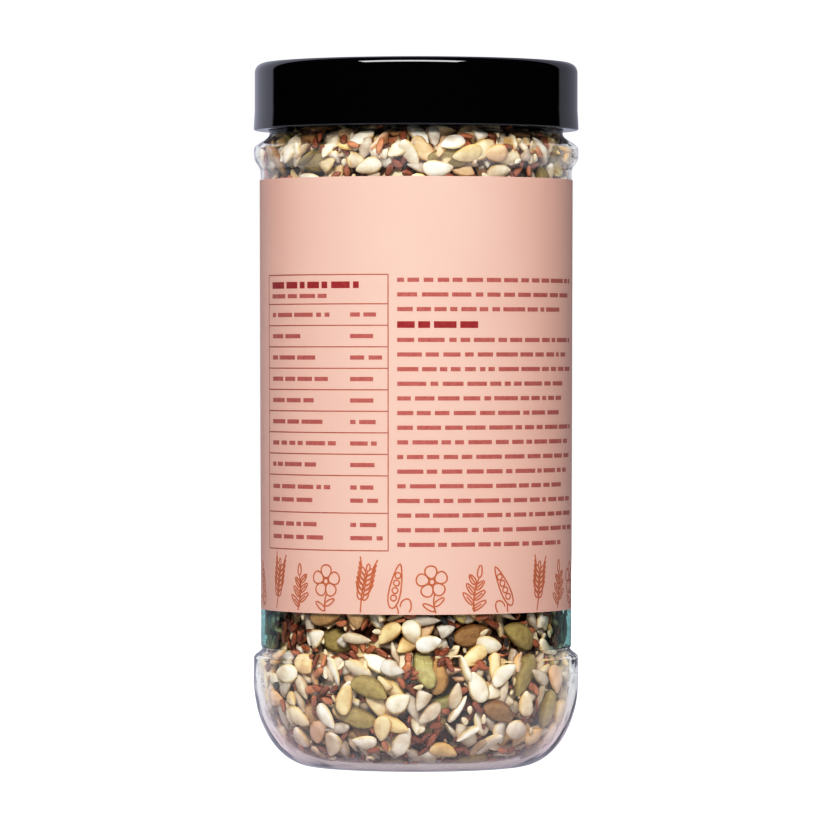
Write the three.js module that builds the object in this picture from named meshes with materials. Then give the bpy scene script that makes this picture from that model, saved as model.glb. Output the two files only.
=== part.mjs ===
// Tall clear PET jar of mixed seeds with a black screw cap and a printed wrap label.
// Millimetres, +Z up. The origin is the centre of the contact ring that the jar stands on.

import * as THREE from 'three';

// ---- Driving dimensions -------------------------------------------------------------------

const SEGMENTS = 48;               // facets round every turned piece, in phase so that gaps stay even
const ARC_STEPS = 6;               // facets along a quarter arc of a profile
const BLEND_STEPS = 4;             // facets along a smooth step of a profile
const BASE_STEPS = 3;              // facets along the domed base
const GAP = 0.3;                   // clearance between neighbouring pieces

// Cap
const TOTAL_HEIGHT = 195.6;
const CAP_RADIUS = 45.0;
const CAP_LIP_RADIUS = 45.3;       // the skirt flares a little towards its lower lip
const CAP_HEIGHT = 18.7;
const CAP_FLARE_HEIGHT = 5.5;
const CAP_EDGE_RADIUS = 2.7;       // round edge between top and skirt
const CAP_TOP_THICKNESS = 1.6;
const CAP_LIP_BEVEL = 0.5;

// Jar, outside
const NECK_RADIUS = 40.9;
const NECK_WALL = 1.6;
const NECK_FOOT_HEIGHT = 175.8;    // where the neck meets the shoulder bead
const BEAD_RADIUS = 45.2;
const BEAD_HEIGHT = 170.6;         // middle of the bead's crest
const BEAD_CREST_WIDTH = 2.0;
const WAIST_TOP_RADIUS = 43.35;    // the label recess tapers very slightly downwards
const WAIST_BOTTOM_RADIUS = 43.0;
const WAIST_TOP_HEIGHT = 165.3;
const WAIST_BOTTOM_HEIGHT = 32.8;
const HEEL_RADIUS = 45.3;
const HEEL_TOP_HEIGHT = 30.2;
const HEEL_ARC_HEIGHT = 24.0;      // height of the elliptical corner under the heel
const CONTACT_OUTER_RADIUS = 29.0;
const CONTACT_INNER_RADIUS = 26.0;
const PUSH_UP_HEIGHT = 5.5;        // rise of the domed base inside the contact ring

// Jar, wall
const BODY_WALL = 0.8;
const BASE_WALL = 1.5;

// Label
const LABEL_TOP_HEIGHT = 163.0;
const LABEL_BOTTOM_HEIGHT = 33.2;
const LABEL_THICKNESS = 0.2;
const LABEL_GAP = 0.2;

// Seeds
const FILL_EDGE_HEIGHT = 174.8;    // where the heap meets the neck
const FILL_HEAP_RISE = 8.5;        // from there up to the heap's middle, inside the cap
const HEAP_ROUNDNESS = 1.4;        // 1 is a sharp cone, 2 a flat dome
const HEAP_RINGS = [0.85, 0.68, 0.5, 0.32, 0.16, 0];
const BUMP_HEIGHT = 0.7;           // unevenness of the heap, up and down
const BUMP_LENGTH = 5.5;

// ---- Profiles -----------------------------------------------------------------------------

const point = (radius, height) => new THREE.Vector2(radius, height);

/** Points on an elliptical arc round (radius, height), from one angle to another in quarter turns. */
function arc(radius, height, wide, tall, from, to) {
  return Array.from({ length: ARC_STEPS + 1 }, (_, i) => {
    const angle = (from + (to - from) * i / ARC_STEPS) * Math.PI / 2;
    return point(radius + wide * Math.cos(angle), height + tall * Math.sin(angle));
  });
}

/** Points on a smooth S between two points of a profile, parallel to the axis at both ends. */
function blend(start, end) {
  return Array.from({ length: BLEND_STEPS + 1 }, (_, i) => {
    const share = i / BLEND_STEPS;
    const eased = (1 - Math.cos(Math.PI * share)) / 2;
    return point(start.x + (end.x - start.x) * eased, start.y + (end.y - start.y) * share);
  });
}

/** The jar's wall from the contact ring up to a neck of this radius, drawn in by inset. */
function wallProfile(inset, neckRadius) {
  const heelRise = HEEL_ARC_HEIGHT - inset;
  const heelWide = HEEL_RADIUS - CONTACT_OUTER_RADIUS - inset;
  const at = (radius, height) => point(radius - inset, height);
  return [
    ...arc(CONTACT_OUTER_RADIUS, HEEL_ARC_HEIGHT, heelWide, heelRise, -1, 0),
    ...blend(at(HEEL_RADIUS, HEEL_TOP_HEIGHT), at(WAIST_BOTTOM_RADIUS, WAIST_BOTTOM_HEIGHT)),
    ...blend(at(WAIST_TOP_RADIUS, WAIST_TOP_HEIGHT),
      at(BEAD_RADIUS, BEAD_HEIGHT - BEAD_CREST_WIDTH / 2)),
    ...blend(at(BEAD_RADIUS, BEAD_HEIGHT + BEAD_CREST_WIDTH / 2),
      point(neckRadius, NECK_FOOT_HEIGHT)),
  ];
}

/** The domed base from the axis out to the contact ring, raised by lift. */
function baseProfile(lift) {
  return Array.from({ length: BASE_STEPS + 1 }, (_, i) => {
    const share = i / BASE_STEPS;
    const rise = PUSH_UP_HEIGHT * (1 - share * share);
    return point(CONTACT_INNER_RADIUS * share, rise + lift);
  });
}

/** A turned solid, standing along Z, from a profile of radius and height. */
function turned(profile) {
  const geometry = new THREE.LatheGeometry(profile, SEGMENTS);
  geometry.rotateX(Math.PI / 2);
  return geometry;
}

function piece(name, geometry, look) {
  const mesh = new THREE.Mesh(geometry, new THREE.MeshStandardMaterial(look));
  mesh.name = name;
  return mesh;
}

// ---- Pieces -------------------------------------------------------------------------------

const capInside = TOTAL_HEIGHT - CAP_TOP_THICKNESS;
const rimHeight = capInside - GAP;

/** Blow-moulded jar: open neck, shoulder bead, label recess, heel and domed base. */
function jar() {
  const neckInside = NECK_RADIUS - NECK_WALL;
  const outside = [
    ...baseProfile(0),
    ...wallProfile(0, NECK_RADIUS),
    point(NECK_RADIUS, rimHeight),
  ];
  const inside = [
    ...baseProfile(BASE_WALL),
    ...wallProfile(BODY_WALL, neckInside),
    point(neckInside, rimHeight),
  ];
  const profile = [...outside, ...inside.reverse()];
  return piece('jar', turned(profile), {
    color: '#e8eceb', roughness: 0.06, metalness: 0, transparent: true, opacity: 0.3,
  });
}

/** Moulded cap: flat top, round edge and a smooth skirt that closes over the neck. */
function cap() {
  const bottom = TOTAL_HEIGHT - CAP_HEIGHT;
  const bore = NECK_RADIUS + GAP;
  const edge = arc(CAP_RADIUS - CAP_EDGE_RADIUS, TOTAL_HEIGHT - CAP_EDGE_RADIUS,
    CAP_EDGE_RADIUS, CAP_EDGE_RADIUS, 0, 1);
  const profile = [
    point(0, capInside),
    point(bore, capInside),
    point(bore, bottom),
    point(CAP_LIP_RADIUS - CAP_LIP_BEVEL, bottom),
    point(CAP_LIP_RADIUS, bottom + CAP_LIP_BEVEL),
    point(CAP_RADIUS, bottom + CAP_FLARE_HEIGHT),
    ...edge,
    point(0, TOTAL_HEIGHT),
  ];
  return piece('cap', turned(profile), { color: '#0c0c0f', roughness: 0.12, metalness: 0 });
}

/** Printed film wrapped once round the recess. */
function label() {
  const inner = LABEL_GAP;
  const outer = LABEL_GAP + LABEL_THICKNESS;
  const radiusAt = (height) => WAIST_BOTTOM_RADIUS + (WAIST_TOP_RADIUS - WAIST_BOTTOM_RADIUS)
    * (height - WAIST_BOTTOM_HEIGHT) / (WAIST_TOP_HEIGHT - WAIST_BOTTOM_HEIGHT);
  const low = radiusAt(LABEL_BOTTOM_HEIGHT);
  const high = radiusAt(LABEL_TOP_HEIGHT);
  const profile = [
    point(low + inner, LABEL_BOTTOM_HEIGHT),
    point(low + outer, LABEL_BOTTOM_HEIGHT),
    point(high + outer, LABEL_TOP_HEIGHT),
    point(high + inner, LABEL_TOP_HEIGHT),
    point(low + inner, LABEL_BOTTOM_HEIGHT),
  ];
  return piece('label', turned(profile), { color: '#f2cbb8', roughness: 0.45, metalness: 0 });
}

/** The seeds as one body that fills the jar, heaped up to an uneven top inside the cap. */
function seeds() {
  const rim = NECK_RADIUS - NECK_WALL - GAP;
  const heap = HEAP_RINGS.map((share) => point(
    rim * share, FILL_EDGE_HEIGHT + FILL_HEAP_RISE * (1 - share ** HEAP_ROUNDNESS),
  ));
  const profile = [
    ...baseProfile(BASE_WALL + GAP),
    ...wallProfile(BODY_WALL + GAP, rim).filter((place) => place.y < FILL_EDGE_HEIGHT - GAP),
    point(rim, FILL_EDGE_HEIGHT),
    ...heap,
  ];
  const geometry = turned(profile);
  const places = geometry.attributes.position;
  for (let i = 0; i < places.count; i += 1) {
    const height = places.getZ(i);
    if (height > FILL_EDGE_HEIGHT + GAP) {
      const bump = Math.sin(places.getX(i) / BUMP_LENGTH) * Math.cos(places.getY(i) / BUMP_LENGTH);
      places.setZ(i, height + BUMP_HEIGHT * bump);
    }
  }
  return piece('seeds', geometry, { color: '#b9a47c', roughness: 0.75, metalness: 0 });
}

const jarOfSeeds = new THREE.Group();
jarOfSeeds.add(jar(), cap(), label(), seeds());

export default jarOfSeeds;
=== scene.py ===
import bpy
import numpy as np
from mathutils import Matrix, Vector


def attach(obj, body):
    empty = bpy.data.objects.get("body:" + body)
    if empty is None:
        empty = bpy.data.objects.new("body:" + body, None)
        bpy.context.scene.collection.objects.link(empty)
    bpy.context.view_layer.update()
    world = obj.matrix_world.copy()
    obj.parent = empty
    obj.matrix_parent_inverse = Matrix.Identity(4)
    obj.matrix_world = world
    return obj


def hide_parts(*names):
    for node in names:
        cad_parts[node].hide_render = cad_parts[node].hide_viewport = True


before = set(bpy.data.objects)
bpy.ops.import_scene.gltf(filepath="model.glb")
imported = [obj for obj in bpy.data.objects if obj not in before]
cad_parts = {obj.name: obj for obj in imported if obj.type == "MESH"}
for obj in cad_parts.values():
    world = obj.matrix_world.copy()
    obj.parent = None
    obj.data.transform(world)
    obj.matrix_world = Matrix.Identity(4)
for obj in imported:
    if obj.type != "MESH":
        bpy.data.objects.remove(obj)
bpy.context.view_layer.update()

# ---- Jar ------------------------------------------------------------------------------------
# A clear jar, stretch-blown from PET in one piece: a wide neck, a bead at the shoulder, a shallow
# recess for the label, a rounder heel and a base pushed up inside the ring that the jar stands on.
# All lengths are millimetres until a mesh is made; angle 0 faces the front, which is -Y.

NECK_RADIUS = 40.9
NECK_WALL = 1.6
NECK_FOOT = 175.8                  # heights, here and below, are above the contact ring
NECK_TOP = 193.7
NECK_BEVEL = 0.4
BORE_START = NECK_FOOT + 4.0       # where the inside has come up to the neck's full wall
BEAD_RADIUS = 45.2
BEAD_CREST = (169.6, 171.6)
WAIST_TOP = (43.35, 165.3)         # radius and height of the recess at its two ends
WAIST_FOOT = (43.0, 32.8)
HEEL_RADIUS = 45.3
HEEL_TOP = 30.2
CORNER_RISE = 24.0                 # the elliptical corner between heel and contact ring
RING_RADII = (26.0, 29.0)
PUSH_UP = 5.5
BASE_WALL = 1.8
WALL_HEIGHTS = (0, 12, 24, 30, 33.5)
WALLS = (2.2, 2.1, 1.8, 1.4, 0.5)  # at these heights: thinnest where the blow drew it out most
LABEL_FOOT = 33.2                  # the label clings to the wall between these heights
LABEL_TOP = 163.0
DULL_STEPS = (31.5, 173.7)         # heights of the steps between heel, recess and neck
JAR_SIDES = 192


def s_bend(start, end, steps=12):
    """Points from start to end, parallel to the axis at both: the radius follows a half cosine
    while the height goes evenly."""
    share = np.linspace(0, 1, steps + 1)
    eased = (1 - np.cos(np.pi * share)) / 2
    return np.stack([start[0] + (end[0] - start[0]) * eased,
                     start[1] + (end[1] - start[1]) * share], axis=1)


def jar_base(lift, steps=16):
    """The pushed-up base from the axis out to the contact ring: its height falls with the square
    of the radius."""
    share = np.linspace(0, 1, steps + 1)
    return np.stack([RING_RADII[0] * share, PUSH_UP * (1 - share ** 2) + lift], axis=1)


def jar_side(steps=28):
    """The outside from the contact ring up to the neck: a quarter ellipse, an S into the recess,
    the recess's straight taper, an S out to the bead and one in to the neck."""
    turn = np.linspace(-np.pi / 2, 0, steps + 1)
    corner = np.stack([RING_RADII[1] + (HEEL_RADIUS - RING_RADII[1]) * np.cos(turn),
                       CORNER_RISE + CORNER_RISE * np.sin(turn)], axis=1)
    return np.concatenate([
        corner,
        s_bend((HEEL_RADIUS, HEEL_TOP), WAIST_FOOT),
        s_bend(WAIST_TOP, (BEAD_RADIUS, BEAD_CREST[0])),
        s_bend((BEAD_RADIUS, BEAD_CREST[1]), (NECK_RADIUS, NECK_FOOT)),
    ])


def left_of(line):
    """Unit normals to the left of a line of points, from the slope at each point."""
    slope = np.gradient(line, axis=0)
    slope /= np.hypot(*slope.T)[:, None]
    return np.stack([-slope[:, 1], slope[:, 0]], axis=1)


def drawn_in(line, wall):
    """The line drawn in by a wall's thickness, one for all points or one each, without the points
    that would fold back where it turns tighter than that."""
    inner = line + left_of(line) * np.reshape(wall, (-1, 1))
    highest = np.maximum.accumulate(inner[:, 1])
    climbs = np.concatenate([[True], inner[1:, 1] > highest[:-1] + 0.05])
    return inner[climbs]


def ring_faces(rings, sides):
    """Faces of a body of rings of points with one end point before and one after them: a fan, bands
    of quads and a fan. Ring points run round so that the faces look outwards."""
    at = 1 + np.arange(rings)[:, None] * sides + np.arange(sides)
    after = np.roll(at, -1, axis=1)
    quads = np.stack([at[:-1], after[:-1], after[1:], at[1:]], axis=-1).reshape(-1, 4)
    first = np.stack([np.zeros(sides, int), after[0], at[0]], axis=1)
    last = np.stack([at[-1], after[-1], np.full(sides, 1 + rings * sides)], axis=1)
    return [quads, np.concatenate([first, last])]


def turned(profile, sides):
    """A profile of radius and height, from the axis back to the axis, carried once round:
    x = r sin a, y = -r cos a, z = h."""
    angle = 2 * np.pi * np.arange(sides) / sides
    radius, height = profile[1:-1, :1], profile[1:-1, 1:]
    rings = np.stack([radius * np.sin(angle), -radius * np.cos(angle),
                      height + 0 * angle], axis=-1)
    ends = [[0, 0, profile[0, 1]], [0, 0, profile[-1, 1]]]
    points = np.concatenate([ends[:1], rings.reshape(-1, 3), ends[1:]])
    return points, ring_faces(len(radius), sides)


def make_piece(name, points, faces, *finishes):
    """A smooth mesh at the origin from points in millimetres and arrays of faces, which may differ
    in their number of corners."""
    mesh = bpy.data.meshes.new(name)
    corners = np.concatenate([group.ravel() for group in faces])
    counts = np.concatenate([np.full(len(group), group.shape[1]) for group in faces])
    mesh.vertices.add(len(points))
    mesh.vertices.foreach_set("co", (points * 0.001).astype(np.float32).ravel())
    mesh.loops.add(len(corners))
    mesh.loops.foreach_set("vertex_index", corners.astype(np.int32))
    mesh.polygons.add(len(counts))
    starts = np.cumsum(counts) - counts
    mesh.polygons.foreach_set("loop_start", starts.astype(np.int32))
    mesh.polygons.foreach_set("use_smooth", np.ones(len(counts), bool))
    mesh.update(calc_edges=True)
    mesh.validate()
    for finish in finishes:
        mesh.materials.append(finish)
    piece = bpy.data.objects.new(name, mesh)
    bpy.context.scene.collection.objects.link(piece)
    return piece


def settle(piece, node):
    """The piece stands for a solid of the frame and moves with the jar."""
    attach(piece, "root")
    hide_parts(node)


def linear(code):
    """The linear colour of an sRGB hex code, with alpha 1."""
    part = np.array([int(code[i:i + 2], 16) for i in (1, 3, 5)]) / 255
    part = np.where(part <= 0.04045, part / 12.92, ((part + 0.055) / 1.055) ** 2.4)
    return (*part.tolist(), 1.0)


def new_finish(name):
    """An empty material; gives the material, its tree and its output node."""
    finish = bpy.data.materials.new(name)
    finish.use_nodes = True
    finish.node_tree.nodes.clear()
    return finish, finish.node_tree, add(finish.node_tree, "ShaderNodeOutputMaterial")


def add(tree, kind, settings=None, **inputs):
    """A node with its settings, and each input set to a value or linked from an output. Input names
    have _ for a blank, or in_ and a number for an input by its place. The setting stops gives a
    colour ramp its places and hex colours."""
    node = tree.nodes.new(kind)
    for key, value in (settings or {}).items():
        if key == "stops":
            for _ in value[2:]:
                node.color_ramp.elements.new(0.5)
            for element, (place, colour) in zip(node.color_ramp.elements, value):
                element.position = place
                element.color = linear(colour)
        else:
            setattr(node, key, value)
    for key, value in inputs.items():
        place = int(key[3:]) if key.startswith("in_") else key.replace("_", " ")
        if isinstance(value, bpy.types.NodeSocket):
            tree.links.new(value, node.inputs[place])
        else:
            node.inputs[place].default_value = value
    return node


def clear_pet():
    """PET, stretch-blown: glossy, clear and a little wavy, so that what shines in it wavers. Low
    down towards the corner of the base, and more at a slant, a mauve tint is painted into it: a
    painted reflection."""
    finish, tree, out = new_finish("clear blown PET")
    where = add(tree, "ShaderNodeTexCoord").outputs["Object"]
    height = add(tree, "ShaderNodeSeparateXYZ", Vector=where).outputs["Z"]
    # Painted reflection: a mauve tint low down near the base's corner, stronger where the wall is
    # seen at a slant.
    low = add(tree, "ShaderNodeMapRange", {"interpolation_type": "SMOOTHSTEP"}, Value=height,
              From_Min=0.006, From_Max=0.026, To_Min=1.0, To_Max=0.0).outputs["Result"]
    edge = add(tree, "ShaderNodeLayerWeight", Blend=0.6).outputs["Facing"]
    painted_mauve_reflection = add(tree, "ShaderNodeMath", {"operation": "MULTIPLY", "use_clamp": True},
               in_0=low, in_1=edge).outputs[0]
    colour = add(tree, "ShaderNodeMix", {"data_type": "RGBA"}, in_0=painted_mauve_reflection,
                 in_6=linear("#fbfcfc"), in_7=linear("#d0a6ae")).outputs[2]
    # The blowing leaves shallow waves, some 9 mm long.
    waves = add(tree, "ShaderNodeTexNoise", Vector=where, Scale=110.0, Detail=1.0).outputs[0]
    wavy = add(tree, "ShaderNodeBump", Height=waves, Strength=0.25, Distance=0.0006)
    # At the steps over the heel and under the neck, where the mould's parts meet, it is duller.
    mirrors = 1.0
    for step in DULL_STEPS:
        off = add(tree, "ShaderNodeMath", {"operation": "SUBTRACT"}, in_0=height,
                  in_1=step * 0.001).outputs[0]
        off = add(tree, "ShaderNodeMath", {"operation": "ABSOLUTE"}, in_0=off).outputs[0]
        mirrors = add(tree, "ShaderNodeMapRange", Value=off, From_Min=0.0018, From_Max=0.003,
                      To_Min=0.08, To_Max=mirrors).outputs["Result"]
    wall = add(tree, "ShaderNodeBsdfPrincipled", Base_Color=colour, Roughness=0.02, IOR=1.575,
               Specular_Tint=mirrors, Transmission_Weight=1.0, Normal=wavy.outputs[0])
    # Lamps and soft daylight reach the seeds straight through the thin wall.
    path = add(tree, "ShaderNodeLightPath")
    through = add(tree, "ShaderNodeMath", {"operation": "MAXIMUM"},
                  in_0=path.outputs["Is Shadow Ray"], in_1=path.outputs["Is Diffuse Ray"])
    # Where the label clings to the wall, it is the film that mirrors, and not the wall.
    covered = add(tree, "ShaderNodeMath", {"operation": "COMPARE"}, in_0=height,
                  in_1=(LABEL_FOOT + LABEL_TOP) * 0.0005, in_2=(LABEL_TOP - LABEL_FOOT) * 0.0005)
    through = add(tree, "ShaderNodeMath", {"operation": "MAXIMUM"}, in_0=through.outputs[0],
                  in_1=covered.outputs[0])
    open_way = add(tree, "ShaderNodeBsdfTransparent", Color=linear("#fdfefe"))
    both = add(tree, "ShaderNodeMixShader", in_0=through.outputs[0], in_1=wall.outputs[0],
               in_2=open_way.outputs[0])
    tree.links.new(both.outputs[0], out.inputs["Surface"])
    return finish


neck_bore = NECK_RADIUS - NECK_WALL
outer_side = jar_side()
inner_side = drawn_in(outer_side, np.interp(outer_side[:, 1], WALL_HEIGHTS, WALLS))
inner_side = np.concatenate([inner_side, s_bend(inner_side[-1], (neck_bore, BORE_START), 4)[1:]])
jar_outline = np.concatenate([
    jar_base(0),
    outer_side,
    [(NECK_RADIUS, NECK_TOP - NECK_BEVEL), (NECK_RADIUS - NECK_BEVEL, NECK_TOP)],
    [(neck_bore + NECK_BEVEL, NECK_TOP), (neck_bore, NECK_TOP - NECK_BEVEL)],
    inner_side[::-1],
    jar_base(BASE_WALL)[::-1],
])
jar = make_piece("jar_wall", *turned(jar_outline, JAR_SIDES), clear_pet())
settle(jar, "jar")

# ---- Seeds ----------------------------------------------------------------------------------
# Hulled watermelon, sunflower and pumpkin kernels with flax and sesame, poured in dry and shaken
# down: flat against the wall, leaning on each other further in, and heaped up inside the cap.
# Only a layer of them can be seen, so a plain dark core stands for what lies behind it.

CELL = 0.3                         # spacing of the depth map on the unrolled surface
COLUMNS = 920                      # cells round the jar
CORE_DEPTH = 4.2                   # how far the core lies behind the wall and above the base
CORE_SIDES = 96
LAYER_DEPTH = 5.0                  # how far the core's upper edge lies below the heap's
HEAP_EDGE = 174.8                  # where the heap meets the neck
HEAP_RISE = 8.5
HEAP_ROUNDNESS = 1.4               # 1 is a sharp cone, 2 a flat dome
HEAP_GAP = 0.3                     # between the heap and the neck's bore
HEAP_CORE_DEPTH = 4.0              # how far the core and the bed of seeds on it lie below the heap
HEAP_BED_DEPTH = 3.5
WALL_COVER = 5.2                   # how many times over the seeds would cover wall and heap
HEAP_COVER = 2.6
BRIDGE = 4.0                       # length of a hollow that the seeds bridge
WALL_CLEARANCE = 0.1
NEXT_TO_WALL = 0.35                # a seed this little off the wall is pressed against it
LARGE = 5.0                        # a kernel longer than this is a large one
LARGE_FIRST = 0.5                  # cover of large kernels before the mix fills in between
LABEL_EDGES = (48.0, 158.5)        # the label hides the seeds between these heights

# name: length, width, thickness, share of all seeds, exponents of the outline at tip and butt,
# rings, spokes, share that stands on edge, share that is broken
KERNELS = {
    "watermelon": (8.1, 5.0, 1.7, 0.260, 0.75, 0.48, 6, 8, 0.12, 0.12),
    "sunflower": (8.2, 3.8, 2.0, 0.100, 0.85, 0.55, 7, 8, 0.10, 0.12),
    "pumpkin_green": (11.5, 6.6, 2.3, 0.020, 0.66, 0.50, 9, 12, 0.06, 0.05),
    "pumpkin_brown": (11.2, 6.4, 2.2, 0.022, 0.70, 0.52, 9, 12, 0.06, 0.10),
    "flax": (4.0, 2.1, 1.0, 0.450, 0.60, 0.45, 5, 6, 0.08, 0.0),
    "sesame_pale": (2.6, 1.6, 0.9, 0.120, 0.72, 0.50, 5, 6, 0.10, 0.0),
    "sesame_dark": (2.9, 1.8, 0.9, 0.045, 0.72, 0.50, 5, 6, 0.10, 0.0),
}
chance = np.random.default_rng(11)


def outline(share, tip, butt):
    """Half width of a kernel at this share of its length, 1 at its widest: share to the power tip
    times what is left to the power butt."""
    widest = tip / (tip + butt)
    share = np.clip(share, 0, 1)
    return share ** tip * (1 - share) ** butt / (widest ** tip * (1 - widest) ** butt)


def heap_line(lowered, steps=60):
    """The heap's profile from the axis out to the neck, as far below the true one as asked."""
    share = np.linspace(0, 1, steps + 1)
    rise = HEAP_RISE * (1 - share ** HEAP_ROUNDNESS)
    return np.stack([(neck_bore - HEAP_GAP) * share, HEAP_EDGE + rise - lowered], axis=1)


def even_steps(path, step):
    """The same path with its points this far apart."""
    along = np.concatenate([[0], np.cumsum(np.hypot(*np.diff(path, axis=0).T))])
    at = np.linspace(0, along[-1], max(2, int(along[-1] / step) + 1))
    return np.stack([np.interp(at, along, path[:, k]) for k in (0, 1)], axis=1)


def bridged(path, reach):
    """The path with each point moved to the mean of its neighbours, as seeds bridge a hollow."""
    steps = int(reach / CELL / 2)
    longer = np.pad(path, ((steps, steps), (0, 0)), mode="reflect", reflect_type="odd")
    sums = np.cumsum(np.concatenate([[[0, 0]], longer]), axis=0)
    return (sums[2 * steps + 1:] - sums[:-2 * steps - 1]) / (2 * steps + 1)


def drop_seeds(path, cover):
    """Lays seeds one by one on a surface of revolution until they would cover it so many times.
    The surface is unrolled to a map of depth, with rows along the path and columns round the axis.
    Each seed lands at the shallowest of a few places, leans as the map under it does and rests on
    its higher points, and the map under it rises by its thickness. The first are all large ones."""
    names = list(KERNELS)
    often = np.cumsum([KERNELS[name][3] for name in names])
    large = np.cumsum([KERNELS[name][3] * (KERNELS[name][0] > LARGE) for name in names])
    reach = np.cumsum(path[:, 0]) / path[:, 0].sum()
    depth = np.zeros((len(path), COLUMNS))
    turn = 2 * np.pi / COLUMNS
    goal = cover * path[:, 0].sum() * CELL * 2 * np.pi
    laid, covered = [], 0.0
    while covered < goal:
        # The seed: its kind, its size, and whether it stands on edge or is broken.
        mix = large if covered < goal / cover * LARGE_FIRST else often
        name = names[int(np.searchsorted(mix, chance.random() * mix[-1]))]
        length, width, thick, _, tip, butt, _, _, on_edge, broken = KERNELS[name]
        length, width, thick = np.array([length, width, thick]) * chance.normal(1, 0.09, 3)
        if chance.random() < on_edge:
            width, thick = thick * 1.15, width * 0.8
        cut = chance.uniform(0.45, 0.75) if chance.random() < broken else 1.0
        # Its place, and the cells of the map that its outline covers there.
        tries = 8 if length > LARGE else 16
        rows = np.searchsorted(reach, chance.random(tries))
        columns = chance.integers(0, COLUMNS, tries)
        best = np.argmin(depth[rows, columns] + chance.random(tries) * 0.3)
        row, column = int(rows[best]), int(columns[best])
        span = int(np.ceil(length / 2 / CELL))
        near = np.arange(max(0, row - span), min(len(path), row + span + 1))
        wide = int(np.ceil(length / 2 / max(path[near, 0].min(), 4.0) / turn))
        beside = np.arange(-wide, wide + 1)
        a = turn * beside[None, :] * path[near, :1]
        b = (near[:, None] - row) * CELL + 0 * a
        spin = chance.uniform(0, 2 * np.pi)
        u = a * np.cos(spin) + b * np.sin(spin)
        v = b * np.cos(spin) - a * np.sin(spin)
        share = u / length + 0.5
        half = outline(share, tip, butt) * width / 2
        under = (np.abs(v) < half) & (share > 0) & (share < cut)
        if not under.any():
            continue
        # Its lean, from the slope of what lies there, and the heap with the seed on it.
        here = depth[np.ix_(near, (column + beside) % COLUMNS)]
        mu, mv, height = u[under], v[under], here[under]
        level = height.mean()
        lean_u = (mu * (height - level)).sum() / ((mu * mu).sum() + 1)
        lean_v = (mv * (height - level)).sum() / ((mv * mv).sum() + 1)
        lean_u = float(np.clip(lean_u + chance.normal(0, 0.05), -0.5, 0.5))
        lean_v = float(np.clip(lean_v + chance.normal(0, 0.08), -0.7, 0.7))
        plane = level + lean_u * mu + lean_v * mv
        plane += np.quantile(height - plane, 0.9)
        bulge = thick * (1 - 0.5 * (mv / half[under]) ** 2)
        here[under] = np.maximum(height, plane + bulge)
        depth[np.ix_(near, (column + beside) % COLUMNS)] = here
        middle = plane.mean() - lean_u * mu.mean() - lean_v * mv.mean() + thick / 2
        laid.append((names.index(name), row, column * turn, spin, lean_u, lean_v, middle,
                     length, width, thick, cut))
        covered += under.sum() * CELL * CELL
    return np.array(laid, float)


def overreach(points):
    """How far each seed's worst point is past the inner wall, or short of it if less than 0. In the
    corner of the base that is the lesser of the ways past it, sideways and downwards."""
    radius, height = np.hypot(points[..., 0], points[..., 1]), points[..., 2]
    sideways = radius - np.interp(height, inner_side[:, 1], inner_side[:, 0])
    corner = inner_side[inner_side[:, 1] < CORNER_RISE]
    floor = np.concatenate([jar_base(BASE_WALL), corner])
    down = np.interp(radius, floor[:, 0], floor[:, 1]) - height
    past = np.where(sideways > 0, np.minimum(sideways, down), np.maximum(sideways, down))
    past = np.where(radius < corner[0, 0], down, past)
    past = np.where(height > CORNER_RISE, sideways, past)
    return past.max(axis=1) + WALL_CLEARANCE


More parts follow.
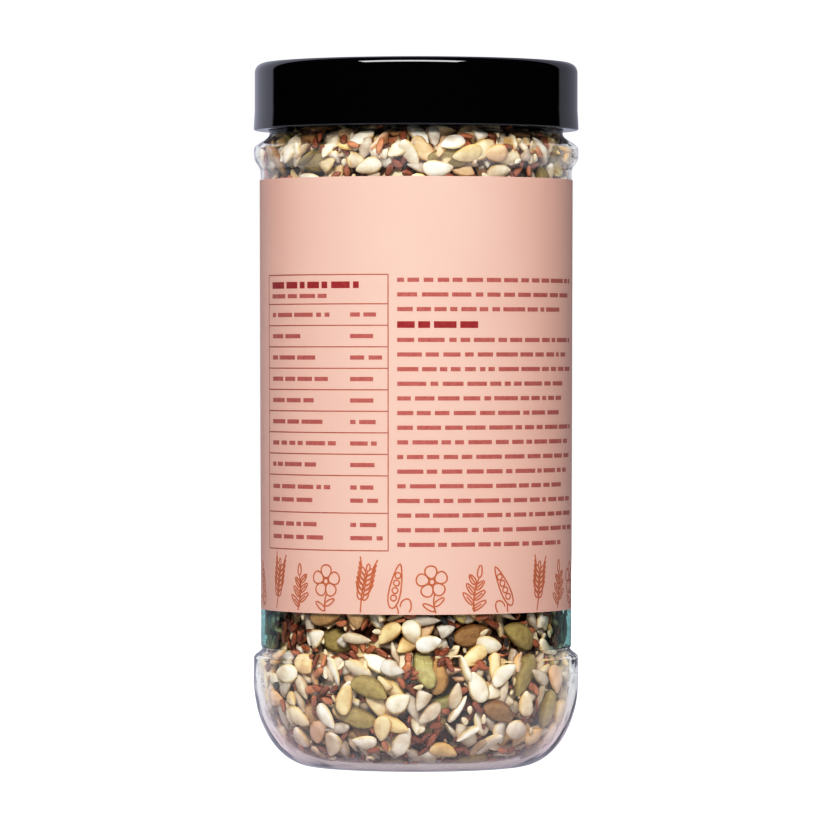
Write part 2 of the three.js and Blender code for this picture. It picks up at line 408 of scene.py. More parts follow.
def kernel_bodies(kind, laid, path, normals, on_heap):
    """All seeds of one kind as one array of points. A kernel is rings across its length, each a
    rounded box, |y|^m + |z|^m = 1, as wide as the outline and a little fuller in thickness; it is
    bent along its length and may be cut short by a flat break. Seeds that lie next to the wall
    are moved out to touch it, and any that reach past it are moved in."""
    tip, butt, rings, spokes = KERNELS[kind][4:8]
    share = (1 - np.cos(np.pi * np.arange(rings + 2) / (rings + 1))) / 2
    share = np.repeat(share[1:-1], spokes)
    angle = np.tile(2 * np.pi * np.arange(spokes) / spokes, rings)
    boxy = 2 / (2.6 if spokes > 6 else 2.1)
    side = np.sign(np.cos(angle)) * np.abs(np.cos(angle)) ** boxy
    face = np.sign(np.sin(angle)) * np.abs(np.sin(angle)) ** boxy
    share = np.concatenate([[0], share, [1]])
    side, face = (np.concatenate([[0], part, [0]]) for part in (side, face))

    # Each seed in its own frame: x along it, y across it, z through it.
    row = laid[:, 1].astype(int)
    turn, spin, lean_u, lean_v, middle, length, width, thick, cut = laid[:, 2:].T
    kept = np.minimum(share, cut[:, None])
    closing = np.where(share > cut[:, None], (1 - share) / (1 - cut[:, None] + 1e-6), 1.0)
    girth = outline(kept, tip, butt) * closing
    fuller = outline(kept, tip, butt) ** 0.75 * closing
    x = (kept - 0.5) * length[:, None]
    bend = chance.normal(0, 0.05, (len(laid), 1))
    skew = chance.normal(0, 0.07, (len(laid), 1))
    y = side * girth * width[:, None] / 2 + skew * width[:, None] * (1 - (2 * kept - 1) ** 2)
    z = face * fuller * thick[:, None] / 2 + bend * length[:, None] * (2 * kept - 1) ** 2

    # Where that frame lies: outwards and up at the seed's place, then turned by its spin and lean.
    sine, cosine, zero = np.sin(turn), np.cos(turn), 0 * turn
    out = np.stack([sine, -cosine, zero], axis=1)
    up = np.array([0, 0, 1.0])
    normal = normals[row, :1] * out + normals[row, 1:] * up
    round_it = np.stack([cosine, sine, zero], axis=1)
    along = np.cross(normal, round_it)
    along *= np.sign((along * (normals[row, 1:] * out - normals[row, :1] * up)).sum(1))[:, None]
    ahead = np.cos(spin)[:, None] * round_it + np.sin(spin)[:, None] * along
    across = np.cos(spin)[:, None] * along - np.sin(spin)[:, None] * round_it
    ahead += lean_u[:, None] * normal
    across += lean_v[:, None] * normal
    ahead /= np.linalg.norm(ahead, axis=1)[:, None]
    across -= (across * ahead).sum(1)[:, None] * ahead
    across /= np.linalg.norm(across, axis=1)[:, None]
    through = np.cross(ahead, across)
    centre = path[row, :1] * out + path[row, 1:] * up + middle[:, None] * normal
    points = (centre[:, None] + x[..., None] * ahead[:, None] + y[..., None] * across[:, None]
              + z[..., None] * through[:, None])
    inwards = -out if on_heap else normal
    touching = (middle < thick / 2 + NEXT_TO_WALL) & (not on_heap)
    for _ in range(3):
        past = overreach(points)
        past = np.where(touching, past, np.clip(past, 0, None))
        points += (past[:, None] * inwards)[:, None]
    tone = np.repeat(chance.random((len(laid), 1)), len(share), axis=1)
    lie = np.stack([kept, side + 0 * kept], axis=-1)
    return points.reshape(-1, 3), lie.reshape(-1, 2), tone.ravel()


def kernel_piece(kind, beds, finish):
    """One joined mesh of all seeds of a kind, with a uv map of where each point lies on its own
    seed, along and across, and an attribute tone that is one random number for each seed."""
    rings, spokes = KERNELS[kind][6:8]
    index = list(KERNELS).index(kind)
    parts = [kernel_bodies(kind, laid[laid[:, 0] == index], *bed) for laid, *bed in beds]
    points, lie, tone = (np.concatenate(part) for part in zip(*parts))
    size = rings * spokes + 2
    shift = np.arange(len(points) // size)[:, None, None] * size
    faces = [(group + shift).reshape(-1, group.shape[1]) for group in ring_faces(rings, spokes)]
    piece = make_piece(kind + "_seeds", points, faces, finish)
    mesh = piece.data
    mesh.attributes.new("tone", "FLOAT", "POINT").data.foreach_set("value", tone)
    corner = np.zeros(len(mesh.loops), np.int32)
    mesh.loops.foreach_get("vertex_index", corner)
    mesh.uv_layers.new(name="lie").data.foreach_set("uv", lie[corner].ravel())
    settle(piece, "seeds")


def seed_skin(name, tones, rim, gloss, streaks, relief, speckle):
    """The skin of a seed: each seed takes its own tone, paler or darker towards its rim, with fine
    streaks along its length and a little mottling."""
    finish, tree, out = new_finish(name)
    tone = add(tree, "ShaderNodeAttribute", {"attribute_name": "tone"}).outputs["Fac"]
    base = add(tree, "ShaderNodeValToRGB", {"stops": tones}, Fac=tone).outputs[0]
    lie = add(tree, "ShaderNodeUVMap", {"uv_map": "lie"}).outputs[0]
    parts = add(tree, "ShaderNodeSeparateXYZ", Vector=lie)
    side = add(tree, "ShaderNodeMath", {"operation": "ABSOLUTE"}, in_0=parts.outputs["Y"])
    near_rim = add(tree, "ShaderNodeMapRange", {"interpolation_type": "SMOOTHSTEP"},
                   Value=side.outputs[0], From_Min=0.62, From_Max=1.0).outputs["Result"]
    rimmed = add(tree, "ShaderNodeMix", {"data_type": "RGBA", "blend_type": "MULTIPLY"},
                 in_0=near_rim, in_6=base, in_7=linear(rim)).outputs[2]
    where = add(tree, "ShaderNodeTexCoord").outputs["Object"]
    mottle = add(tree, "ShaderNodeTexNoise", Vector=where, Scale=speckle, Detail=3.0).outputs[0]
    patchy = add(tree, "ShaderNodeValToRGB",
                 {"stops": [(0.36, "#c9b49e"), (0.6, "#ffffff")]}, Fac=mottle).outputs[0]
    colour = add(tree, "ShaderNodeMix", {"data_type": "RGBA", "blend_type": "MULTIPLY"},
                 in_0=0.6, in_6=rimmed, in_7=patchy).outputs[2]
    stretched = add(tree, "ShaderNodeVectorMath", {"operation": "MULTIPLY"}, in_0=lie,
                    in_1=(1.6, streaks, 1.0)).outputs[0]
    fine = add(tree, "ShaderNodeTexNoise", {"noise_dimensions": "4D"}, Vector=stretched, W=tone,
               Scale=2.0, Detail=2.0).outputs[0]
    ridged = add(tree, "ShaderNodeBump", Height=fine, Strength=relief, Distance=0.0003)
    skin = add(tree, "ShaderNodeBsdfPrincipled", Base_Color=colour, Roughness=gloss,
               Normal=ridged.outputs[0])
    tree.links.new(skin.outputs[0], out.inputs["Surface"])
    return finish


def seed_dust():
    """What lies behind the seeds: more of them, as grains some 3 mm wide, most of them the brown of
    flax, each with painted shade that darkens it towards its edge, where the grains would shade
    each other."""
    finish, tree, out = new_finish("deep seed bed")
    where = add(tree, "ShaderNodeTexCoord").outputs["Object"]
    grains = add(tree, "ShaderNodeTexVoronoi", Vector=where, Scale=300.0).outputs
    tint = add(tree, "ShaderNodeSeparateColor", Color=grains["Color"]).outputs["Red"]
    colour = add(tree, "ShaderNodeValToRGB",
                 {"stops": [(0.0, "#5a2c20"), (0.55, "#7a4030"), (0.75, "#a88a68"),
                            (1.0, "#d2c0a0")]}, Fac=tint).outputs[0]
    # Painted shade: each grain darker towards its edge, as between grains that shade each other.
    shade = add(tree, "ShaderNodeValToRGB", {"stops": [(0.2, "#ffffff"), (0.6, "#5a5048")]},
                Fac=grains["Distance"]).outputs[0]
    colour = add(tree, "ShaderNodeMix", {"data_type": "RGBA", "blend_type": "MULTIPLY"},
                 in_0=1.0, in_6=colour, in_7=shade).outputs[2]
    bed = add(tree, "ShaderNodeBsdfPrincipled", Base_Color=colour, Roughness=0.8)
    tree.links.new(bed.outputs[0], out.inputs["Surface"])
    return finish


# The seeds' way out over the base and up the wall, and the core, which is that way drawn in. Both
# leave out what lies next to the axis, and the core's heap also what lies next to the neck.
wall = np.concatenate([jar_base(BASE_WALL)[5:], inner_side[inner_side[:, 1] < HEAP_EDGE + 1.5]])
wall = bridged(even_steps(wall, CELL), BRIDGE)
core_side = drawn_in(wall[wall[:, 0] > RING_RADII[1]], CORE_DEPTH)[::8]
core_outline = np.concatenate([
    jar_base(BASE_WALL + CORE_DEPTH),
    core_side[core_side[:, 1] < HEAP_EDGE - LAYER_DEPTH],
    heap_line(HEAP_CORE_DEPTH)[::-1][6:],
])
core = make_piece("seed_core", *turned(core_outline, CORE_SIDES), seed_dust())
settle(core, "seeds")

# Three beds of seeds: on the base and up the wall to the label, up the wall above the label, and
# on the heap.
beds = []
for line, cover, on_heap in (
        (wall[wall[:, 1] < LABEL_EDGES[0]], WALL_COVER, False),
        (wall[wall[:, 1] > LABEL_EDGES[1]], WALL_COVER, False),
        (even_steps(heap_line(HEAP_BED_DEPTH)[12:], CELL), HEAP_COVER, True)):
    beds.append((drop_seeds(line, cover), line, left_of(line), on_heap))

WATERMELON = [(0.0, "#f6eee0"), (0.35, "#f4e6cd"), (0.65, "#f0dab2"), (0.88, "#ebca90"),
              (1.0, "#e8c1a8")]
SUNFLOWER = [(0.0, "#dcd3c6"), (0.5, "#d2c2b0"), (1.0, "#e2ceb2")]
GREEN_PUMPKIN = [(0.0, "#9a8652"), (0.5, "#b7a266"), (1.0, "#a59e68")]
BROWN_PUMPKIN = [(0.0, "#886142"), (0.5, "#b48b54"), (1.0, "#ceaa80")]
FLAX = [(0.0, "#6e3a28"), (0.5, "#8f5036"), (0.85, "#a86646"), (1.0, "#c0825c")]
PALE_SESAME = [(0.0, "#f1e4ca"), (1.0, "#e2cda6")]
DARK_SESAME = [(0.0, "#2b2e2d"), (1.0, "#3a3431")]

# name of the kind, its skin: tones, tint of the rim, roughness, streaks across, relief, mottling
for kind, skin in {
    "watermelon": ("hulled watermelon kernel", WATERMELON, "#ecd9b0", 0.4, 6.0, 0.25, 260.0),
    "sunflower": ("hulled sunflower kernel", SUNFLOWER, "#d8c9b4", 0.5, 14.0, 0.6, 420.0),
    "pumpkin_green": ("green pumpkin kernel", GREEN_PUMPKIN, "#b2a878", 0.36, 9.0, 0.8, 700.0),
    "pumpkin_brown": ("toasted pumpkin kernel", BROWN_PUMPKIN, "#b4966a", 0.38, 9.0, 0.9, 700.0),
    "flax": ("flax seed coat", FLAX, "#dcc4b0", 0.16, 2.0, 0.05, 500.0),
    "sesame_pale": ("pale sesame coat", PALE_SESAME, "#e8d4ae", 0.4, 2.0, 0.1, 500.0),
    "sesame_dark": ("dark sesame coat", DARK_SESAME, "#b0a8a0", 0.4, 2.0, 0.1, 500.0),
}.items():
    kernel_piece(kind, beds, seed_skin(*skin))

# ---- Cap ------------------------------------------------------------------------------------
# A screw cap, moulded in black polypropylene against polished steel: a flat top with a round edge
# and a smooth skirt that flares a little to its lip. It screws down over the neck.

CAP_TOP = 195.6
CAP_FOOT = 176.9
CAP_FLARE = 5.5                    # height of the skirt's flare over the lip
CAP_RADIUS = 45.0
CAP_LIP = 45.3
CAP_WALL = 1.6
CAP_BORE = NECK_RADIUS + 0.3


def rounded(corners, steps=8):
    """An outline through corners, each given as radius, height and the radius of its round edge.
    The round is an arc between the two sides, with one more point just outside each of its ends
    that keeps the sides flat."""
    corners = np.array(corners, float)
    points = [corners[0, :2]]
    for before, here, after in zip(corners, corners[1:], corners[2:]):
        back = before[:2] - here[:2]
        on = after[:2] - here[:2]
        back /= np.hypot(*back)
        on /= np.hypot(*on)
        half = np.arccos(np.clip(back @ on, -1, 1)) / 2
        reach = here[2] / np.tan(half)
        centre = here[:2] + (back + on) / np.hypot(*(back + on)) * here[2] / np.sin(half)
        start, end = here[:2] + back * reach - centre, here[:2] + on * reach - centre
        share = np.linspace(0, 1, steps + 1)[:, None]
        sweep = np.pi - 2 * half
        arc = (start * np.sin((1 - share) * sweep) + end * np.sin(share * sweep)) / np.sin(sweep)
        points += [here[:2] + back * reach * 1.12, *(centre + arc), here[:2] + on * reach * 1.12]
    return np.array([*points, corners[-1, :2]])


def black_moulding():
    """Polypropylene with carbon black, off a polished mould: a deep gloss over black, a very slight
    orange peel, and faint rubbed patches."""
    finish, tree, out = new_finish("black moulded polypropylene")
    where = add(tree, "ShaderNodeTexCoord").outputs["Object"]
    rubbed = add(tree, "ShaderNodeTexNoise", Vector=where, Scale=40.0, Detail=4.0).outputs[0]
    gloss = add(tree, "ShaderNodeMapRange", Value=rubbed, From_Min=0.4, From_Max=0.75,
                To_Min=0.03, To_Max=0.07).outputs["Result"]
    peel = add(tree, "ShaderNodeTexNoise", Vector=where, Scale=260.0, Detail=1.0).outputs[0]
    surface = add(tree, "ShaderNodeBump", Height=peel, Strength=0.03, Distance=0.0002)
    # The lip's underside comes off an unpolished plate of the mould and hardly shines.
    height = add(tree, "ShaderNodeSeparateXYZ", Vector=where).outputs["Z"]
    shine = add(tree, "ShaderNodeMapRange", Value=height, From_Min=(CAP_FOOT + 0.1) * 0.001,
                From_Max=(CAP_FOOT + 0.3) * 0.001, To_Min=0.05, To_Max=1.0).outputs["Result"]
    plastic = add(tree, "ShaderNodeBsdfPrincipled", Base_Color=linear("#020203"),
                  Roughness=gloss, IOR=1.49, Specular_IOR_Level=shine, Normal=surface.outputs[0])
    tree.links.new(plastic.outputs[0], out.inputs["Surface"])
    return finish


cap_outline = rounded([
    (0, CAP_TOP - CAP_WALL, 0),
    (CAP_BORE, CAP_TOP - CAP_WALL, 0.5),
    (CAP_BORE, CAP_FOOT, 0.3),
    (CAP_LIP, CAP_FOOT, 0.5),
    (CAP_RADIUS, CAP_FOOT + CAP_FLARE, 4.0),
    (CAP_RADIUS, CAP_TOP, 2.7),
    (0, CAP_TOP, 0),
])
cap = make_piece("cap_shell", *turned(cap_outline, JAR_SIDES), black_moulding())
settle(cap, "cap")

# ---- Label ----------------------------------------------------------------------------------
# A printed film wrapped once round the recess and lapped at the back. Most of it is pink; its foot
# is clear film with a teal tint that is strong at the sides and the back and fades at the front.

PINK_FOOT = 43.75                  # height at which the pink ends and the clear foot begins
FILM = 0.1
FILM_GAP = 0.2                     # between the jar's wall and the film
LAP = 9.0                          # length that the film laps over its own start
LAP_GAP = 0.02
LABEL_STEPS = 256
CLEAR_ROWS = 6                     # rows of points up the clear foot and up the pink
PINK_ROWS = 25


def film_radius(height):
    """Radius of the film's inner face, which follows the recess's taper."""
    return FILM_GAP + np.interp(height, [WAIST_FOOT[1], WAIST_TOP[1]],
                                [WAIST_FOOT[0], WAIST_TOP[0]])


def wrapped(angle, height, outwards):
    """Points on the wrapped film: outwards is the distance from its inner face."""
    radius = film_radius(height) + outwards
    return np.stack([radius * np.sin(angle), -radius * np.cos(angle), height + 0 * radius],
                    axis=-1)


def label_film():
    """The film as a closed strip. Its cross-section, a thin upright box, is carried round from the
    back to the back and, where it laps over its own start, out by a little more than its
    thickness. Under the lap its clear foot is trimmed off, so that it is one layer there too."""
    heights = np.concatenate([
        [LABEL_FOOT], np.linspace(LABEL_FOOT + 0.05, PINK_FOOT, CLEAR_ROWS),
        np.linspace(PINK_FOOT, LABEL_TOP - 0.05, PINK_ROWS)[1:], [LABEL_TOP]])
    lap = LAP / film_radius(LABEL_TOP)
    angle = np.linspace(-np.pi, np.pi + lap, LABEL_STEPS)
    lift = np.clip((angle - np.pi + 0.1) / 0.08, 0, 1)
    lift = (lift * lift * (3 - 2 * lift) * (FILM + LAP_GAP))[:, None]
    # The rows of the trimmed foot are kept, drawn together to a hundredth of a millimetre each.
    trimmed = np.maximum(heights, PINK_FOOT - 0.01 * (CLEAR_ROWS - np.arange(len(heights))))
    heights = np.where(angle[:, None] < -np.pi + 0.8 * lap, trimmed, heights)
    inner = wrapped(angle[:, None], heights, lift)
    outer = wrapped(angle[:, None], heights[:, ::-1], lift + FILM)
    section = np.concatenate([outer, inner], axis=1)
    ends = [section[:1].mean(axis=1), section[-1:].mean(axis=1)]
    points = np.concatenate([ends[0], section.reshape(-1, 3), ends[1]])
    return points, ring_faces(len(angle), section.shape[1])


def pink_film():
    """Polypropylene film, reverse printed in a flat pink and matt varnished: an even field with a
    soft sheen, and hardly any ripple from the wall under it."""
    finish, tree, out = new_finish("pink printed film")
    where = add(tree, "ShaderNodeTexCoord").outputs["Object"]
    cloud = add(tree, "ShaderNodeTexNoise", Vector=where, Scale=30.0, Detail=2.0).outputs[0]
    colour = add(tree, "ShaderNodeValToRGB",
                 {"stops": [(0.3, "#c69e91"), (0.7, "#c9a295")]}, Fac=cloud).outputs[0]
    ripple = add(tree, "ShaderNodeBump", Height=cloud, Strength=0.12, Distance=0.0004)
    film = add(tree, "ShaderNodeBsdfPrincipled", Base_Color=colour, Roughness=0.5,
               Specular_IOR_Level=0.3, Normal=ripple.outputs[0])
    tree.links.new(film.outputs[0], out.inputs["Surface"])
    return finish


def teal_film():
    """The same film left clear, with a transparent teal ink printed on it that fades out towards
    the front of the jar."""
    finish, tree, out = new_finish("clear teal film")
    where = add(tree, "ShaderNodeTexCoord").outputs["Object"]
    part = add(tree, "ShaderNodeSeparateXYZ", Vector=where)
    ink = add(tree, "ShaderNodeMapRange", {"interpolation_type": "SMOOTHSTEP"},
              Value=part.outputs["Y"], From_Min=-0.0275, From_Max=-0.015).outputs["Result"]
    tint = add(tree, "ShaderNodeMix", {"data_type": "RGBA"}, in_0=ink,
               in_6=linear("#fefefe"), in_7=linear("#cddfde")).outputs[2]
    see_through = add(tree, "ShaderNodeBsdfTransparent", Color=tint)
    shine = add(tree, "ShaderNodeBsdfGlossy", Roughness=0.08)
    milky = add(tree, "ShaderNodeBsdfDiffuse", Color=linear("#5f98a6"))
    veil = add(tree, "ShaderNodeMath", {"operation": "MULTIPLY"}, in_0=ink, in_1=0.02)
    inked = add(tree, "ShaderNodeMixShader", in_0=veil.outputs[0], in_1=see_through.outputs[0],
                in_2=milky.outputs[0])
    # Either face of the film mirrors a little, and more at a slant: (1 - cos a) to the power 5.
    slant = add(tree, "ShaderNodeLayerWeight", Blend=0.5).outputs["Facing"]
    edge = add(tree, "ShaderNodeMath", {"operation": "POWER"}, in_0=slant, in_1=5.0).outputs[0]
    edge = add(tree, "ShaderNodeMath", {"operation": "MULTIPLY_ADD"}, in_0=edge, in_1=0.5,
               in_2=0.015).outputs[0]
    film = add(tree, "ShaderNodeMixShader", in_0=edge, in_1=inked.outputs[0],
               in_2=shine.outputs[0])
    tree.links.new(film.outputs[0], out.inputs["Surface"])
    return finish


label = make_piece("label_film", *label_film(), pink_film(), teal_film())
centres = np.zeros(len(label.data.polygons) * 3)
label.data.polygons.foreach_get("center", centres)
clear_part = centres[2::3] < PINK_FOOT * 0.001
label.data.polygons.foreach_set("material_index", clear_part.astype(np.int32))
settle(label, "label")

# ---- Print ----------------------------------------------------------------------------------
# Red-brown inks on the film, a hair's breadth thick: a ruled table with bars in its rows, a column
# of bars beside it, and a row of plants all round the foot of the pink.
# Paths are pairs of the distance round the jar from its front, and the height.

PRINT_RADIUS = 43.6
INK_LAYER = (FILM - 0.02, FILM + 0.025)    # from just inside the film to just proud of it
TABLE_SIDES = (-52.3, -7.7)
TABLE_TOP = 136.3
TABLE_ROWS = (8.0, *[5.85] * 8, 10.2, 10.2)
VALUE_COLUMN = -18.6
TEXT_COLUMN = (-5.2, 62.0)
TEXT_PITCH = 3.98
RULE = 0.3                         # widths of the strokes: rules, bars and the plants' lines
BAR = 1.15
BOLD_BAR = 1.8
PEN = 0.42
STROKE_STEP = 0.6                  # spacing of points along a stroke
FIRST_PLANT = -122.7
PLANT_PITCH = 10.7
words = np.random.default_rng(5)


def ribbons(strokes):
    """Strokes of ink as one set of points and faces. Each is a path and a width: a flat box is
    carried along the path on the outside of the film."""
    points, quads, fans, first = [], [], [], 0
    for path, width in strokes:
        path = even_steps(np.array(path, float), STROKE_STEP)
        aside = left_of(path) * width / 2
        box = []
        for side, layer in ((1, 1), (-1, 1), (-1, 0), (1, 0)):
            edge = path + side * aside
            box.append(wrapped(edge[:, 0] / PRINT_RADIUS, edge[:, 1], INK_LAYER[layer]))
        rings = np.stack(box, axis=1)
        points += [rings[:1].mean(axis=1), rings.reshape(-1, 3), rings[-1:].mean(axis=1)]
        bands, caps = ring_faces(len(path), 4)
        quads.append(bands + first)
        fans.append(caps + first)
        first += 4 * len(path) + 2
    return np.concatenate(points), [np.concatenate(quads), np.concatenate(fans)]


def word_bars(start, end, height, width=BAR):
    """A line of bars of uneven length, with blanks between them."""
    bars, at = [], start
    while at < end - 1.2:
        stop = min(at + words.uniform(1.6, 8.0), end)
        bars.append(([(at, height), (stop, height)], width))
        at = stop + words.uniform(0.9, 1.3)
    return bars


def leaf(at, heading, length, width, point=0.5):
    """The outline of a leaf or petal: out along its heading as 1 - cos t, aside as sin t, and
    narrower, or wider, towards its tip by the share called point."""
    t = np.linspace(0, 2 * np.pi, 25)
    share = (1 - np.cos(t)) / 2
    aside = np.sin(t) * width / 2 * (1 - point * share)
    turn = np.radians(heading)
    return np.stack([at[0] + share * length * np.cos(turn) - aside * np.sin(turn),
                     at[1] + share * length * np.sin(turn) + aside * np.cos(turn)], axis=1)


def stem(height, sway):
    """A stalk from the foot up, swaying aside as half a sine wave."""
    z = np.linspace(0, height, 14)
    return np.stack([sway * np.sin(np.pi * z / height), z], axis=1)


def sprig():
    """A twig with six leaves and one at its tip, each leaf with a midrib."""
    lines = [stem(11.5, 0.9)]
    for step in range(6):
        side = 1 if step % 2 else -1
        at, heading = (0.8, 2.0 + 1.5 * step), 90 - side * (52 - 2 * step)
        rib = np.radians(heading)
        lines += [leaf(at, heading, 5.2 - 0.3 * step, 2.1),
                  [at, (at[0] + 3.2 * np.cos(rib), at[1] + 3.2 * np.sin(rib))]]
    return lines + [leaf((0, 11.5), 92, 4.0, 1.9)]


def ear():
    """An ear of grain: pairs of grains up a stalk, each with a bristle."""
    lines = [stem(13.0, 0.5)]
    for step in range(6):
        for side in (-1, 1):
            at, heading = (0.4 * side + 0.3, 4.5 + 1.5 * step), 90 - side * 30
            tip = (at[0] + side * 1.4, at[1] + 2.3)
            lines += [leaf(at, heading, 2.7, 1.35, 0.2), [tip, (tip[0] + side, tip[1] + 3.0)]]
    return lines + [leaf((0, 13.2), 90, 2.6, 1.3, 0.2)]


def blossom():
    """A flower of five petals on a stalk with two leaves."""
    middle = np.array([0.3, 10.4])
    turn = np.radians(np.arange(90, 450, 72))
    petals = [leaf(middle + 1.0 * np.array([np.cos(a), np.sin(a)]), np.degrees(a), 4.0, 3.0, -0.5)
              for a in turn]
    lines = [stem(6.6, 0.6), leaf(middle - (0.9, 0), 0, 1.8, 1.8, 0), *petals]
    return lines + [leaf((0.4, 1.5), 35, 4.6, 2.0), leaf((0.5, 3.0), 148, 4.2, 1.9)]


def pod():
    """An open seed pod: a long outline with a row of round seeds in it, and a curling stalk."""
    curl = np.linspace(0, 1.5 * np.pi, 16)
    curl = np.stack([3.4 - 2.2 * np.cos(curl) * (1 - curl / 7), 2.4 + 2.0 * np.sin(curl)], axis=1)
    seeds_in = [leaf((-0.5 + 0.92 * k, 4.6 + 2.05 * k), 66, 1.9, 1.9, 0) for k in range(4)]
    return [stem(3.4, 0.4), leaf((-1.4, 2.6), 66, 13.4, 4.6, 0.55), curl, *seeds_in]


def above(path, foot):
    """The runs of a path that lie higher than the height called foot."""
    path = even_steps(np.array(path, float), STROKE_STEP)
    kept = (path[:, 1] > foot).astype(int)
    runs = np.split(path, np.flatnonzero(np.diff(kept)) + 1)
    return [run for run in runs if len(run) > 1 and run[0, 1] > foot]


def ink(name, code, worn):
    """Offset ink, matt, slightly uneven in density, as it is on film."""
    finish, tree, out = new_finish(name)
    where = add(tree, "ShaderNodeTexCoord").outputs["Object"]
    grain = add(tree, "ShaderNodeTexNoise", Vector=where, Scale=900.0, Detail=2.0).outputs[0]
    colour = add(tree, "ShaderNodeValToRGB", {"stops": [(0.35, code), (0.75, worn)]},
                 Fac=grain).outputs[0]
    layer = add(tree, "ShaderNodeBsdfPrincipled", Base_Color=colour, Roughness=0.55,
                Specular_IOR_Level=0.3)
    tree.links.new(layer.outputs[0], out.inputs["Surface"])
    return finish


rows = TABLE_TOP - np.cumsum([0, *TABLE_ROWS])
table = [([(side, rows[0]), (side, rows[-1])], RULE) for side in TABLE_SIDES]
table += [([(TABLE_SIDES[0], z), (TABLE_SIDES[1], z)], RULE) for z in rows]
heads = word_bars(TABLE_SIDES[0] + 2.6, -16.0, TABLE_TOP - 2.8, BOLD_BAR)
text = word_bars(TABLE_SIDES[0] + 2.6, -26.0, TABLE_TOP - 5.8)
for top, pitch in zip(rows[1:-1], TABLE_ROWS[1:]):
    for z in [top - pitch / 2] if pitch < 8 else [top - 3.2, top - 6.8]:
        text += word_bars(TABLE_SIDES[0] + 2.8, words.uniform(-36, -22), z)
        text += word_bars(VALUE_COLUMN, words.uniform(-12.5, -9.2), z)
line_heights = TABLE_TOP - 1.5 - TEXT_PITCH * np.array([0, 1, 2, *np.arange(4.1, 18.5)])
for z in line_heights:
    text += word_bars(TEXT_COLUMN[0], TEXT_COLUMN[1] - words.uniform(0, 14), z)
heads += word_bars(TEXT_COLUMN[0], 18.0, line_heights[2] - 4.2, BOLD_BAR)

# Each plant has its own size and tilt, is mirrored or not, and is cut off where the pink ends.
plants = []
for place, kind in enumerate([sprig, blossom, ear, pod, blossom, sprig, pod, ear] * 3):
    size, tilt = words.uniform(0.88, 0.94), np.radians(words.uniform(-13, 13))
    flip = words.choice([-1, 1])
    across, up = (flip * np.cos(tilt), np.sin(tilt)), (-flip * np.sin(tilt), np.cos(tilt))
    spin = size * np.array([across, up])
    foot = (FIRST_PLANT + PLANT_PITCH * place, PINK_FOOT + words.uniform(-0.8, 0.6))
    for line in kind():
        plants += [(run, PEN) for run in above(np.array(line) @ spin + foot, PINK_FOOT + 0.3)]

for name, strokes, finish in (
        ("heading_print", heads, ink("dark red ink", "#7e2224", "#8b3032")),
        ("text_print", text, ink("red-brown ink", "#96504a", "#a15f58")),
        ("table_print", table, ink("brown rule ink", "#8e4e42", "#9b5f52")),
        ("plant_print", plants, ink("orange-brown ink", "#9e5638", "#ab6648"))):
    printed = make_piece(name, *ribbons(strokes), finish)
    printed.data.shade_flat()
    settle(printed, "label")

# ---- Studio ---------------------------------------------------------------------------------
# A white table that runs into a white backdrop, soft lamps above, in front and behind, and a dark
# room in front of the jar, which is what its black cap mirrors between two pale bands.

TABLE_HALF = 4000.0
TABLE_CORNERS = TABLE_HALF * np.array([[-1, -1, 0], [1, -1, 0], [1, 1, 0], [-1, 1, 0]])
JAR_MIDDLE = Vector((0, 0, 0.1))

table_top = make_piece("table_top", TABLE_CORNERS, [np.array([[0, 1, 2, 3]])])
finish, tree, out = new_finish("white table")
rays = add(tree, "ShaderNodeLightPath").outputs
dim = add(tree, "ShaderNodeMath", {"operation": "MULTIPLY"}, in_0=rays["Is Transmission Ray"],
          in_1=0.2).outputs[0]
glow = add(tree, "ShaderNodeMix", in_0=rays["Is Camera Ray"], in_2=dim, in_3=1.0).outputs[0]
white = add(tree, "ShaderNodeBsdfDiffuse", Color=linear("#bdbdbd"))
lit = add(tree, "ShaderNodeEmission", Strength=glow)
both = add(tree, "ShaderNodeAddShader", in_0=white.outputs[0], in_1=lit.outputs[0])
tree.links.new(both.outputs[0], out.inputs["Surface"])
table_top.data.materials.append(finish)
table_top.visible_glossy = False

world = bpy.data.worlds.new("white room")
bpy.context.scene.world = world
world.use_nodes = True
world.cycles.sampling_method = "NONE"
tree = world.node_tree
tree.nodes.clear()
# What is glossy mirrors a pale wall behind the jar and a pale table, and nothing else of the room.
heading = add(tree, "ShaderNodeTexCoord").outputs["Generated"]
way = add(tree, "ShaderNodeSeparateXYZ", Vector=heading).outputs
left_is_paler = add(tree, "ShaderNodeMapRange", Value=way["X"], From_Min=-0.3, From_Max=0.3,
                    To_Min=0.7, To_Max=0.4).outputs["Result"]
behind = add(tree, "ShaderNodeMapRange", Value=way["Y"], From_Min=0.53, From_Max=0.57,
             To_Min=0.0, To_Max=left_is_paler).outputs["Result"]
below = add(tree, "ShaderNodeMapRange", Value=way["Z"], From_Min=-0.2, From_Max=-0.35,
            To_Min=0.0, To_Max=0.7).outputs["Result"]
mirrored = add(tree, "ShaderNodeMath", {"operation": "MAXIMUM"}, in_0=behind, in_1=below).outputs[0]
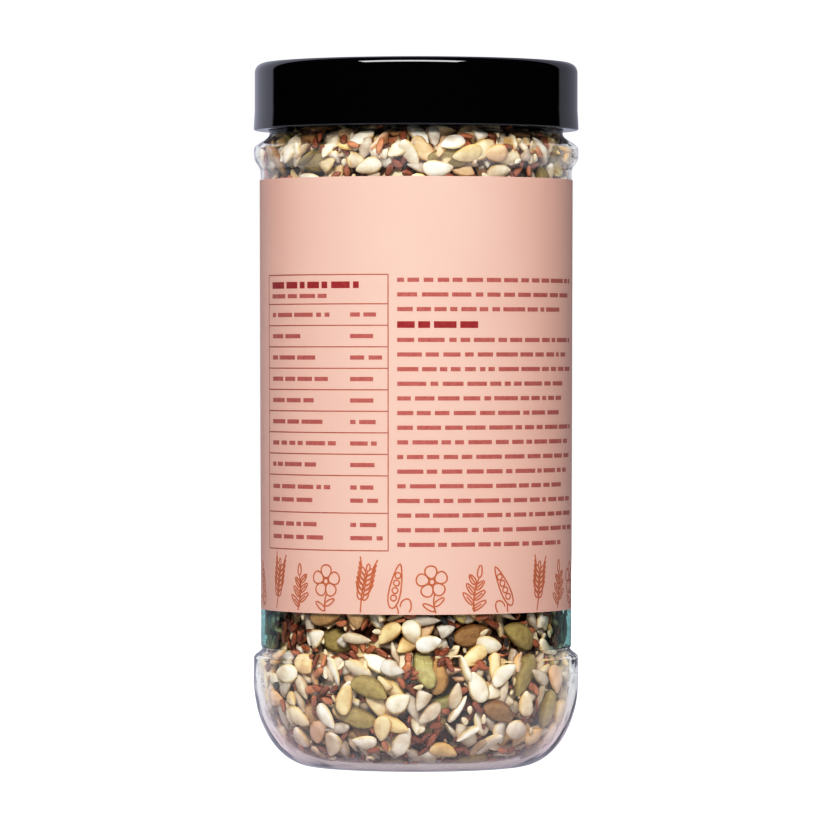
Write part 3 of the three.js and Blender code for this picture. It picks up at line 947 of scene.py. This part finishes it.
# The camera sees it white, straight or through the jar, and it adds little light of its own.
rays = add(tree, "ShaderNodeLightPath").outputs
soft = add(tree, "ShaderNodeMix", in_0=rays["Is Diffuse Ray"], in_2=mirrored, in_3=0.04).outputs[0]
seen = add(tree, "ShaderNodeMath", {"operation": "MAXIMUM"}, in_0=rays["Is Camera Ray"],
           in_1=rays["Is Transmission Ray"]).outputs[0]
strength = add(tree, "ShaderNodeMix", in_0=seen, in_2=soft, in_3=1.0).outputs[0]
cool = add(tree, "ShaderNodeMix", {"data_type": "RGBA"}, in_0=seen, in_6=linear("#e6e8fc"),
           in_7=linear("#ffffff")).outputs[2]
backdrop = add(tree, "ShaderNodeBackground", Color=cool, Strength=strength)
add(tree, "ShaderNodeOutputWorld", Surface=backdrop.outputs[0])


def softbox(name, place, wide, tall, watts, mirrored):
    """A flat lamp at place, in metres, that faces the jar. One that isn't mirrored lights the jar
    but doesn't show in its gloss."""
    lamp = bpy.data.lights.new(name, "AREA")
    lamp.shape, lamp.size, lamp.size_y, lamp.energy = "RECTANGLE", wide, tall, watts
    holder = bpy.data.objects.new(name, lamp)
    holder.location = place
    holder.rotation_euler = (JAR_MIDDLE - Vector(place)).to_track_quat("-Z", "Y").to_euler()
    holder.visible_camera = holder.visible_transmission = False
    holder.visible_glossy = mirrored
    bpy.context.scene.collection.objects.link(holder)


softbox("overhead_lamp", (-0.05, -0.55, 1.15), 1.15, 0.4, 11.0, True)
softbox("left_lamp", (-1.4, -0.375, 0.65), 0.6, 0.6, 1.0, False)
softbox("right_lamp", (1.4, -0.375, 0.65), 0.6, 0.6, 0.9, False)
softbox("front_lamp", (-0.08, -1.33, 0.84), 0.5, 0.4, 24.5, False)
softbox("back_left_lamp", (-0.22, 1.45, 0.7), 0.5, 0.5, 14.0, False)
softbox("back_right_lamp", (0.22, 1.45, 0.7), 0.5, 0.5, 14.0, False)

lens = bpy.data.cameras.new("long_lens")
lens.sensor_width = 36.0
lens.lens = 265.1
camera = bpy.data.objects.new("camera", lens)
camera.location = (-0.0006, -1.7, 0.115)
aim = Vector((-0.0006, 0, 0.0979))
camera.rotation_euler = (aim - camera.location).to_track_quat("-Z", "Y").to_euler()
bpy.context.scene.collection.objects.link(camera)
bpy.context.scene.camera = camera

# The camera's own contrast: a gentle S from black to white.
view = bpy.context.scene.view_settings
view.view_transform = "Standard"
view.use_curve_mapping = True
tone_curve = view.curve_mapping.curves[3]
for given, shown in ((0.12, 0.1), (0.32, 0.32), (0.5, 0.54), (0.72, 0.79)):
    tone_curve.points.new(given, shown)
view.curve_mapping.update()
